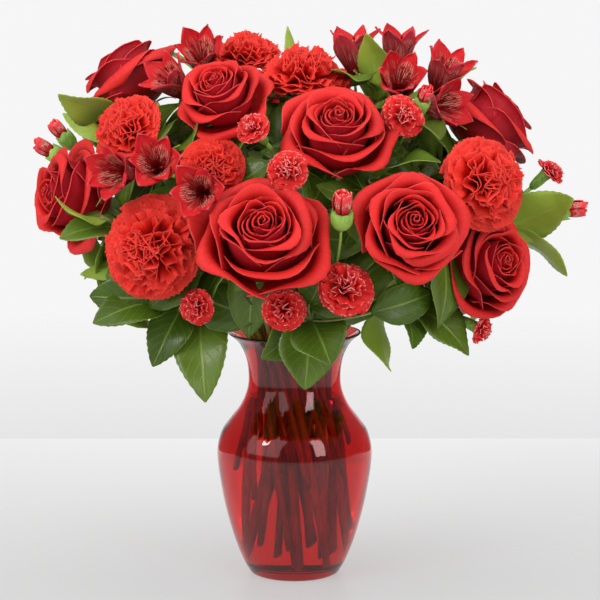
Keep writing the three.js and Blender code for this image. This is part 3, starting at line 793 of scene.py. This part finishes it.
for index, (name, (at, face, size)) in enumerate(ROSES.items()):
    dice = random.Random(200 + index)
    tip, aim = tips["rose", name]
    bm = new_bmesh()
    hip = [Vector((0, 0, z)) for z, r in HIP_PROFILE]
    tube(bm, hip, [r for z, r in HIP_PROFILE], HIP_SIDES)
    for k in range(SEPALS):
        turn = k * math.tau / SEPALS + dice.uniform(-0.2, 0.2)
        sheet(bm, SEPAL_GRID, sepal(turn, dice.uniform(6, 13)), SEPAL_THICKNESS)
    stand_on(bm, tip, aim)
    add_stem(bm, "rose", name, 0.97, tip - aim * INTO_HIP)
    piece(f"rose_{name}_stalk", bm, rose_stem_skin, "stem_green", f"rose_stem_{name}")

# Carnations: standard red carnations. Fifty or more fan-shaped petals with pinked edges crowd
# out of one long calyx, spread flat on the outside and crumpled into each other at the middle.
CARNATION_PETALS = 56
CARNATION_TEETH = 24
PINKED_ROWS = 4


def pinked_petal(size, s, turn, dice, teeth, drift):
    """One fan-shaped petal. s is 0 for the innermost petal and 1 for the outermost."""
    radius = size / 2
    spread = math.radians(9 + 54 * smoothstep(0, 0.6, s) + 32 * s) * dice.uniform(0.92, 1.06)
    full = (0.88 + 0.12 * smoothstep(0.4, 0.8, s)) * dice.uniform(0.9, 1.05)
    lip = Vector((math.sin(spread), 0.33 + 0.80 * math.cos(spread))) * full
    claw = Vector((0.05, 0.0))
    knee = Vector((0.12 + 0.36 * s, 0.40 + 0.22 * (1 - s)))
    half = (0.30 + 0.42 * s) * dice.uniform(0.8, 1.15)
    waves, phase = dice.uniform(1.2, 2.4) + 1.2 * s, dice.uniform(0, math.tau)
    ruffle = (0.18 - 0.15 * smoothstep(0, 0.8, s)) * dice.uniform(0.6, 1.35)
    fold = dice.choice((-1, 1)) * 0.20 * (1 - s) * dice.uniform(0.4, 1.2)
    twist = dice.uniform(-0.5, 0.5) * (1 - 0.6 * s)
    nicks = [(0.034 - 0.016 * s) * dice.uniform(0.2, 1) * (-1) ** k for k in range(teeth + 1)]
    rotation = Matrix.Rotation(turn, 3, "Z")
    knee_slope, lip_slope = knee - claw, lip - knee

    def surface(u, v):
        nick = nicks[round((u + 1) / 2 * teeth)] if v > 0.99 else 0
        reach = v * (1 - 0.56 * half * half * u * u) + nick
        rest = 1 - reach
        way = claw * rest * rest + knee * 2 * rest * reach + lip * reach * reach
        slope = (knee_slope * rest + lip_slope * reach).normalized()
        out = Vector((-slope.y, slope.x))
        fan = v**1.25 * half + 0.05
        bulge = ruffle * v * v * math.sin(waves * math.pi * u + phase) + fold * abs(u) * v * v
        r, z = way + out * bulge
        side = u * fan
        point = Vector((r, side * math.cos(twist * v), z + side * math.sin(twist * v) * 0.6))
        return rotation @ (point * radius) + drift * (1 - s) * v

    return surface


def pinked_head(bm, size, petals, teeth, dice):
    """A whole head of pinked petals round +Z, standing on the origin."""
    start = dice.uniform(0, math.tau)
    drift = Vector((dice.uniform(-0.1, 0.1), dice.uniform(-0.1, 0.1), 0)) * size
    for k in range(petals):
        s = ((k + 0.5) / petals) ** 1.15
        turn = start + k * GOLDEN_ANGLE + dice.uniform(-0.2, 0.2)
        surface = pinked_petal(size, s, turn, dice, teeth, drift)
        sheet(bm, (teeth, PINKED_ROWS), surface, PETAL_THICKNESS, shade=0.2 * dice.random())


# The first colour is painted shade at the petals' roots and the last a painted highlight on
# their rims
carnation_petals = velvet_petal(
    "carnation_petal_tissue", "#b01008", "#e62a1e", "#d82620", "#ee4c3e"
)

for index, (name, (at, face, size)) in enumerate(CARNATIONS.items()):
    dice = random.Random(300 + index)
    bm = new_bmesh()
    pinked_head(bm, size, CARNATION_PETALS, CARNATION_TEETH, dice)
    stand_on(bm, foot_of(at, face, size * MIDDLE["carnation"]), aim_of(face))
    node = f"carnation_{name}"
    piece(f"{node}_petals", bm, carnation_petals, "carnation_petals", node)

# Carnation stems: grey-green and jointed. Under the head each swells into a long smooth
# calyx with five points.
CARNATION_CALYX = [(-27, 2.4), (-25, 4.6), (-21, 6.1), (-12, 6.6), (-3, 7.2), (1.5, 8.0)]
CALYX_SIDES = 20
CALYX_POINTS = 5
POINT_TALL = {"carnation": 4.5, "spray": 3}
INTO_CUP = 25


def calyx(bm, profile, tall):
    """A green cup along +Z that ends in points of the given height."""
    points = [Vector((0, 0, z)) for z, r in profile]
    rings = tube(bm, points, [r for z, r in profile], CALYX_SIDES)
    top = [v for v in rings if v.co.z > profile[-1][0] - 0.01]
    for v in top:
        corner = 0.5 + 0.5 * math.cos(CALYX_POINTS * math.atan2(v.co.y, v.co.x))
        v.co.z += tall * corner**1.5
        v.co.xy *= 1 + 0.06 * corner


for index, (name, (at, face, size)) in enumerate(CARNATIONS.items()):
    tip, aim = tips["carnation", name]
    bm = new_bmesh()
    calyx(bm, CARNATION_CALYX, POINT_TALL["carnation"])
    stand_on(bm, tip, aim)
    add_stem(bm, "carnation", name, 0.96, tip - aim * INTO_CUP)
    node = f"carnation_stem_{name}"
    piece(f"carnation_{name}_stalk", bm, carnation_stem_skin, "stem_green", node)

# Spray carnations: small flowers and buds on side branches of one thin stem, each in its own
# green calyx. Their pinked edges are broken into pale pink specks, and buds are flamed too.
SPRAY_PETALS = 24
SPRAY_TEETH = 12
FLOWER_CALYX = [(-CALYX, 1.7), (2 - CALYX, 3.4), (-8, 4.4), (-2, 4.6), (1, 5.2)]
BUD_CALYX = [(1.5, 0.13), (4, 0.36), (8, 0.49), (13, 0.52), (17, 0.46)]
BUD_PETALS = 7
BUD_GRID = (8, 5)
SPRAY_BRANCH = 1.2
# The first red is painted shade at the roots; the last is the sprays' real pale pink edge and a
# painted highlight
SPRAY_REDS = ("#a80a0c", "#e2201e", "#dc3a42", "#ffbcb2")

spray_petals = velvet_petal(
    "spray_carnation_petal_tissue", *SPRAY_REDS, speckled=1.0, marked=1.0
)


def furled(size, k, turn, dice):
    """The surface of one petal that is still furled round the middle of a bud."""
    tall = size * dice.uniform(0.85, 1.15)
    wrap = size * (0.10 + 0.045 * k)
    teeth = BUD_GRID[0]
    nicks = [dice.uniform(0, 0.1) for j in range(teeth + 1)]

    def surface(u, v):
        nick = nicks[round((u + 1) / 2 * teeth)] if v > 0.99 else 0
        r = wrap * (1 + 0.3 * math.sin(2.4 * v))
        angle = turn + u * 1.1
        up = tall * (v * (1 - 0.12 * u * u) + nick)
        return Vector((r * math.cos(angle), r * math.sin(angle), up))

    return surface


def bud_petals(bm, size, dice):
    """The furled tips of the petals that show above a bud's calyx."""
    for k in range(BUD_PETALS):
        surface = furled(size, k, k * GOLDEN_ANGLE, dice)
        sheet(bm, BUD_GRID, surface, PETAL_THICKNESS, shade=1.0)


def join(part, whole, foot, aim):
    """Stands a finished part on its foot, looking along aim, as a part of the whole."""
    stand_on(part, foot, aim)
    held = bpy.data.meshes.new("part")
    part.to_mesh(held)
    part.free()
    whole.from_mesh(held)
    bpy.data.meshes.remove(held)


for index, (name, heads) in enumerate(SPRAYS.items()):
    dice = random.Random(400 + index)
    petals, green = new_bmesh(), new_bmesh()
    add_stem(green, "spray", name)
    for at, face, size, kind in heads:
        foot, aim = foot_of(at, face, size * MIDDLE[kind]), aim_of(face)
        flower, cup = new_bmesh(), new_bmesh()
        if kind == "open":
            pinked_head(flower, size, SPRAY_PETALS, SPRAY_TEETH, dice)
            profile = FLOWER_CALYX
        else:
            bud_petals(flower, size, dice)
            rising = [(up - CALYX, wide * size) for up, wide in BUD_CALYX]
            profile = [FLOWER_CALYX[0], *rising]
        calyx(cup, profile, POINT_TALL["spray"])
        join(flower, petals, foot, aim)
        join(cup, green, foot, aim)
    for at, face, size, kind in heads[1:]:
        add_branch(green, "spray", name, at, face, spray_ahead(size, kind), SPRAY_BRANCH)
    node = f"spray_carnation_{name}"
    piece(f"{node}_petals", petals, spray_petals, "carnation_petals", node)
    piece(f"{node}_stalk", green, carnation_stem_skin, "stem_green", node)

# Alstroemeria: trumpet florets of three broad outer tepals and three narrower inner ones, all
# flamed and dashed, the inner ones most. Six stamens curve out of each.
TEPALS = [
    # half width, middle's and tip's distance from the floret's axis, strength of the marks
    (11.5, 14, 21, 0.3),
    (8.2, 11.5, 18, 1.0),
]
TEPAL_GRID = (8, 12)
SIXTH = math.tau / 6
STAMEN, STAMEN_SIDES = 0.45, 5
STAMEN_WAY = (0, 0.25, 0.5, 0.75, 0.92)
ANTHER, ANTHER_SIDES = (0.8, 1.2, 0.6), 6
FLORET_BRANCH = 1.3

# The first colour is painted shade at the tepals' roots and the last a painted highlight on
# their rims
alstroemeria_petals = velvet_petal(
    "alstroemeria_tepal_tissue", "#8a0812", "#cc1a22", "#b83440", "#e0626a", marked=1.0
)
alstroemeria_skin = fresh_green("alstroemeria_stem_skin", "#688a42", "#a0bd6c", 0.45)


def tepal(turn, half, out, tip, dice):
    """One tepal: narrow at the throat, broad above its middle and drawn to a small point."""
    root, throat = Vector((0.8, -FLORET_NECK)), Vector((3.2, 8))
    broad, end = Vector((out, 0.68 * FLORET)), Vector((tip, 0.95 * FLORET))
    back, cup = dice.uniform(-1.5, 3.5), dice.uniform(0.05, 0.35)
    ruffle, phase = dice.uniform(0.6, 1.8), dice.uniform(0, math.tau)
    rotation = Matrix.Rotation(turn, 3, "Z")

    def surface(u, v):
        r, z = cubic((root, throat * 1.15, broad * 0.95, end), v)
        wide = half * math.sin(math.pi * min(v**1.5 * 0.98 + 0.035, 1)) ** 0.75
        wave = ruffle * v * abs(u) * math.sin(9 * v + 4 * u + phase)
        curl = smoothstep(0.7, 1, v) * back + wave
        return rotation @ Vector((r + curl - cup * abs(u) ** 2 * wide, u * wide, z - curl * 0.5))

    return surface


for index, (name, heads) in enumerate(ALSTROEMERIAS.items()):
    dice = random.Random(500 + index)
    petals, green = new_bmesh(), new_bmesh()
    add_stem(green, "alstroemeria", name)
    for at, face in heads:
        flower = new_bmesh()
        for k in range(6):
            half, out, end, marks = TEPALS[k % 2]
            surface = tepal(k * SIXTH, half, out, end, dice)
            sheet(flower, TEPAL_GRID, surface, PETAL_THICKNESS, shade=marks)
        for k in range(6):
            lean = Matrix.Rotation(k * SIXTH + 0.3, 3, "Z")
            way = [lean @ Vector((1 + 7 * t**2, 0, 2 + 30 * t)) for t in STAMEN_WAY]
            tube(flower, way, [STAMEN] * len(way), STAMEN_SIDES)
            anther = [way[-1].lerp(way[-2], -share) for share in (0, 0.2, 0.45)]
            tube(flower, anther, ANTHER, ANTHER_SIDES)
        join(flower, petals, foot_of(at, face, FLORET * MIDDLE["floret"]), aim_of(face))
    for at, face in heads[1:]:
        add_branch(green, "alstroemeria", name, at, face, FLORET_AHEAD, FLORET_BRANCH)
    node = f"alstroemeria_{name}"
    piece(f"{node}_petals", petals, alstroemeria_petals, "alstroemeria_petals", node)
    piece(f"{node}_stalk", green, alstroemeria_skin, "stem_green", node)

# Foliage: cut salal and similar leafy stems. Each leaf is leathery, folded along its rib,
# finely toothed, dark above and paler below. A leaf is (share of the bend that it grows at,
# tip, width, roll); a roll of 180 shows its underside.
LEAVES = {
    "left_high": [
        (0.97, (-188, -40, 400), 32, 180),
        (0.86, (-190, 10, 382), 28, 160),
        (0.7, (-150, 32, 346), 32, 0),
    ],
    "left": [
        (0.97, (-186, -96, 324), 28, 30),
        (0.88, (-184, -84, 290), 32, -20),
        (0.74, (-172, -44, 256), 26, 170),
        (0.6, (-150, -6, 266), 36, 0),
    ],
    "low_left": [
        (0.97, (-162, -74, 243), 34, 0),
        (0.86, (-158, -92, 224), 38, 0),
        (0.76, (-112, -84, 188), 34, -50),
        (0.66, (-70, -98, 162), 44, -53),
    ],
    "low_centre": [
        (0.8, (8, -98, 172), 46, 0),
        (0.97, (28, -124, 196), 44, 0),
        (0.62, (-26, -92, 196), 34, 0),
    ],
    "low_right": [
        (0.72, (76, -84, 184), 36, 180),
        (0.84, (92, -106, 206), 32, 20),
        (0.97, (138, -78, 196), 38, 0),
    ],
    "right": [
        (0.97, (222, -22, 252), 34, -20),
        (0.9, (222, -54, 318), 38, 10),
        (0.74, (190, 26, 244), 30, 0),
        (0.56, (130, 74, 214), 34, 0),
    ],
    "centre": [
        (0.97, (112, -114, 352), 36, 0),
        (0.8, (38, -118, 288), 36, 0),
    ],
    "top": [
        (0.97, (58, -22, 448), 34, 10),
        (0.8, (-6, 58, 452), 34, 180),
    ],
    "back_left": [
        (0.97, (-196, 104, 306), 38, 0),
        (0.86, (-164, 140, 252), 36, 0),
        (0.74, (-178, 50, 240), 34, 0),
        (0.6, (-62, 122, 222), 38, 0),
    ],
    "back_right": [
        (0.97, (180, 110, 256), 38, 0),
        (0.88, (134, 146, 236), 36, 0),
        (0.76, (176, 56, 218), 34, 0),
        (0.62, (34, 128, 232), 38, 0),
    ],
}
LEAF_THICKNESS = 0.5
LEAF_GRID = (8, 28)
LEAF_TOOTH = 0.35


def leaf(base, tip, width, roll):
    """A leaf's surface from its base to its tip. Its upper side faces out of the bouquet."""
    axis = (tip - base).normalized()
    length = (tip - base).length
    outward = (base + tip) / 2 - HEART
    face = (outward - axis * outward.dot(axis)).normalized()
    face = Matrix.Rotation(math.radians(roll), 3, axis) @ face
    across = axis.cross(face)

    def surface(u, v):
        half = 0.6 + width / 2 * math.sin(math.pi * v**0.85) ** 0.85
        toothed = abs(u) > 0.99 and 0.08 < v < 0.96
        tooth = LEAF_TOOTH * (-1) ** round(v * LEAF_GRID[1]) if toothed else 0
        lift = length * 0.1 * math.sin(math.pi * v) + abs(u) * (half - 0.6) * 0.22
        lift += u * width * 0.05 * math.sin(3 * math.pi * v)
        return base + axis * length * v + across * u * (half + tooth) + face * lift

    return surface


# Leaf skin: waxy and smooth, dark above and pale below, with a light rib and eight pairs of
# side veins. It is mottled in patches of 18 mm, and its cells are drawn 1.9 mm wide to show.
SIDE_VEINS = 8.0
LEAF_MOTTLE = 55
LEAF_CELLS = 520
PALE_BELOW = ("#7c9a30", "#a2b84a")
VEIN_GREEN = "#a8bc58"
RIM_GREEN = "#a9bd62"


def leaf_tissue(name, deep, bright):
    """A leaf's skin with its two greens above."""
    finish = bpy.data.materials.new(name)
    tree = empty_tree(finish)
    along, across, tone, outside = (
        add_node(tree, "Attribute", {}, attribute_name=note).outputs["Fac"] for note in NOTES
    )
    under = add_node(tree, "MapRange", {"Value": outside, "To Min": 1.0, "To Max": tone})
    out = add_node(tree, "Math", {0: across}, operation="ABSOLUTE")
    rows = add_node(tree, "Math", {0: along, 1: SIDE_VEINS}, operation="MULTIPLY")
    swept = add_node(tree, "Math", {0: out, 1: -2.4, 2: rows}, operation="MULTIPLY_ADD")
    fold = add_node(tree, "Math", {0: swept, 1: 0.5}, operation="PINGPONG")
    side_vein = add_node(
        tree, "MapRange", {"Value": fold, "From Max": 0.05, "To Min": 0.7, "To Max": 0.0}
    )
    rib = add_node(
        tree,
        "MapRange",
        {"Value": out, "From Min": 0.02, "From Max": 0.07, "To Min": 1.0, "To Max": 0.0},
    )
    vein = add_node(tree, "Math", {0: side_vein, 1: rib}, operation="MAXIMUM")
    place = add_node(tree, "TexCoord", {}).outputs["Object"]
    mottle = add_node(tree, "TexNoise", {"Vector": place, "Scale": LEAF_MOTTLE, "Detail": 4.0})
    cells = add_node(tree, "TexVoronoi", {"Vector": place, "Scale": LEAF_CELLS})
    dark, pale = (
        add_node(tree, "Mix", {0: mottle, MIX_A: low, MIX_B: high}, data_type="RGBA")
        for low, high in ((deep, bright), PALE_BELOW)
    )
    green = add_node(tree, "Mix", {0: under, MIX_A: dark, MIX_B: pale}, data_type="RGBA")
    faint = add_node(tree, "Math", {0: vein, 1: 0.3}, operation="MULTIPLY")
    veined = add_node(tree, "Mix", {0: faint, MIX_A: green, MIX_B: VEIN_GREEN}, data_type="RGBA")
    rim = add_node(
        tree, "MapRange", {"Value": out, "From Min": 0.95, "From Max": 1.0, "To Max": 0.25}
    )
    edged = add_node(tree, "Mix", {0: rim, MIX_A: veined, MIX_B: RIM_GREEN}, data_type="RGBA")
    grain = add_node(tree, "Math", {0: cells, 1: 0.25, 2: vein}, operation="MULTIPLY_ADD")
    relief = add_node(
        tree, "Bump", {"Height": grain, "Strength": 0.4, "Distance": 0.0006}, invert=True
    )
    skin = add_node(
        tree,
        "BsdfPrincipled",
        {"Base Color": edged, "Roughness": 0.34, "Specular IOR Level": 0.4, "Normal": relief},
    )
    add_node(tree, "OutputMaterial", {"Surface": skin})
    return finish


salal_leaf = leaf_tissue("salal_leaf", "#263a06", "#46660e")
woody_skin = fresh_green("salal_stem_skin", "#6f6038", "#8b9a50", 0.6)

# Inner leaves: they fill the bouquet between and behind the flowers, on side twigs of the same
# leafy stems. They lie in a dome a little smaller than the bouquet, clear of heads and of the
# vase's rim, which is a radius and a height.
INNER_LEAVES = 190
DOME_MIDDLE = Vector((6, -4, 258))
DOME_SIZE = Vector((212, 168, 186))
DOME_LOWEST = -0.22
DEPTHS_TRIED = 8
RIM_CLEAR = (66, 214)
HEAD_CLEAR, SPRAY_CLEAR, FLORET_CLEAR = 0.46, 0.6, 17
INNER_GRID = (4, 10)
TWIG, TWIG_SIDES, TWIG_STEPS = 1.0, 5, 9
TWIG_SHARES = [0.25 + 0.05 * j for j in range(15)]

heads = []
for at, face, size in (*ROSES.values(), *CARNATIONS.values()):
    heads.append((Vector(at), HEAD_CLEAR * size))
for spray in SPRAYS.values():
    heads += [(Vector(at), SPRAY_CLEAR * size) for at, face, size, kind in spray]
for florets in ALSTROEMERIAS.values():
    heads += [(Vector(at), FLORET_CLEAR) for at, face in florets]
dice = random.Random(600)
inner = {name: [] for name in LEAVES}
for k in range(INNER_LEAVES):
    up = 1 - (1 - DOME_LOWEST) * (k + 0.5) / INNER_LEAVES
    turn = k * GOLDEN_ANGLE
    level = math.sqrt(1 - up * up)
    way = Vector((level * math.cos(turn), level * math.sin(turn), up))
    outward = (way * DOME_SIZE).normalized()
    lying = outward.orthogonal()
    lying.rotate(Matrix.Rotation(dice.uniform(0, math.tau), 3, outward))
    axis = (lying + outward * dice.uniform(0.1, 0.8)).normalized()
    length = dice.uniform(50, 74)
    width, roll = length * dice.uniform(0.48, 0.64), dice.uniform(-35, 35)
    depth = dice.uniform(0.6, 0.86) - 0.14 * smoothstep(0.2, -0.2, up)
    for _ in range(DEPTHS_TRIED):
        middle = DOME_MIDDLE + way * DOME_SIZE * depth
        base, tip = middle - axis * length / 2, middle + axis * length / 2
        points = [base.lerp(tip, share) for share in (0, 0.3, 0.6, 0.85, 1)]
        if all((point - at).length > clear for point in points for at, clear in heads):
            break
        depth -= 0.05
    low = min(points, key=lambda point: point.z)
    if depth < 0.25 or (low.z < RIM_CLEAR[1] and low.xy.length < RIM_CLEAR[0]):
        continue
    distance, name, share = min(
        ((cubic(bends["foliage", name], share) - base).length, name, share)
        for name in LEAVES
        for share in TWIG_SHARES
    )
    inner[name].append((share, base, tip, width, roll))

for name, leaves in LEAVES.items():
    node = f"foliage_{name}"
    green, twig = new_bmesh(), new_bmesh()
    add_stem(twig, "foliage", name)
    for share, tip, width, roll in leaves:
        surface = leaf(cubic(bends["foliage", name], share), Vector(tip), width, roll)
        tone = 0.9 if roll >= 90 else dice.uniform(0, 0.35)
        sheet(green, LEAF_GRID, surface, LEAF_THICKNESS, shade=tone)
    piece(f"{node}_leaves", green, salal_leaf, "leaf_green", node)
    filling = new_bmesh()
    for share, base, tip, width, roll in inner[name]:
        surface = leaf(base, tip, width, roll)
        sheet(filling, INNER_GRID, surface, LEAF_THICKNESS, shade=dice.uniform(0, 0.3))
        start, further = (cubic(bends["foliage", name], share + step) for step in (0, 0.04))
        reach = (base - start).length
        out = start + (further - start).normalized() * 0.35 * reach
        back = base - (tip - base).normalized() * 0.3 * reach
        points = interpolate_bezier(start, out, back, base, TWIG_STEPS)
        tube(twig, points, [TWIG] * len(points), TWIG_SIDES)
    piece(f"{node}_inner_leaves", filling, salal_leaf, "leaf_green")
    piece(f"{node}_stalk", twig, woody_skin, "stem_green", node)

# Alstroemeria leaves: narrow, soft and paler than salal, in a loose whorl below the florets.
# Each is turned about its rib by its short stalk and stays clear of the flower heads.
NARROW_LEAVES = 9
NARROW_GRID = (4, 12)

alstroemeria_leaf = leaf_tissue("alstroemeria_leaf", "#56761c", "#84a438")

for index, (name, [(at, face), *others]) in enumerate(ALSTROEMERIAS.items()):
    dice = random.Random(700 + index)
    narrow = new_bmesh()
    for k in range(NARROW_LEAVES):
        base, aim = cubic(bends["alstroemeria", name], 0.98 - 0.04 * k), aim_of(face)
        out = aim.orthogonal()
        out.rotate(Matrix.Rotation(k * GOLDEN_ANGLE, 3, aim))
        axis = (out + aim * dice.uniform(0.3, 1.1)).normalized()
        length, width, roll = dice.uniform(42, 62), dice.uniform(10, 15), dice.uniform(-50, 50)
        points = [base + axis * length * share for share in (0.4, 0.6, 0.8, 1)]
        if all((point - at).length > 0.9 * clear for point in points for at, clear in heads):
            surface = leaf(base, points[-1], width, roll)
            sheet(narrow, NARROW_GRID, surface, LEAF_THICKNESS, shade=dice.uniform(0, 0.4))
    piece(f"alstroemeria_{name}_leaves", narrow, alstroemeria_leaf, "leaf_green")
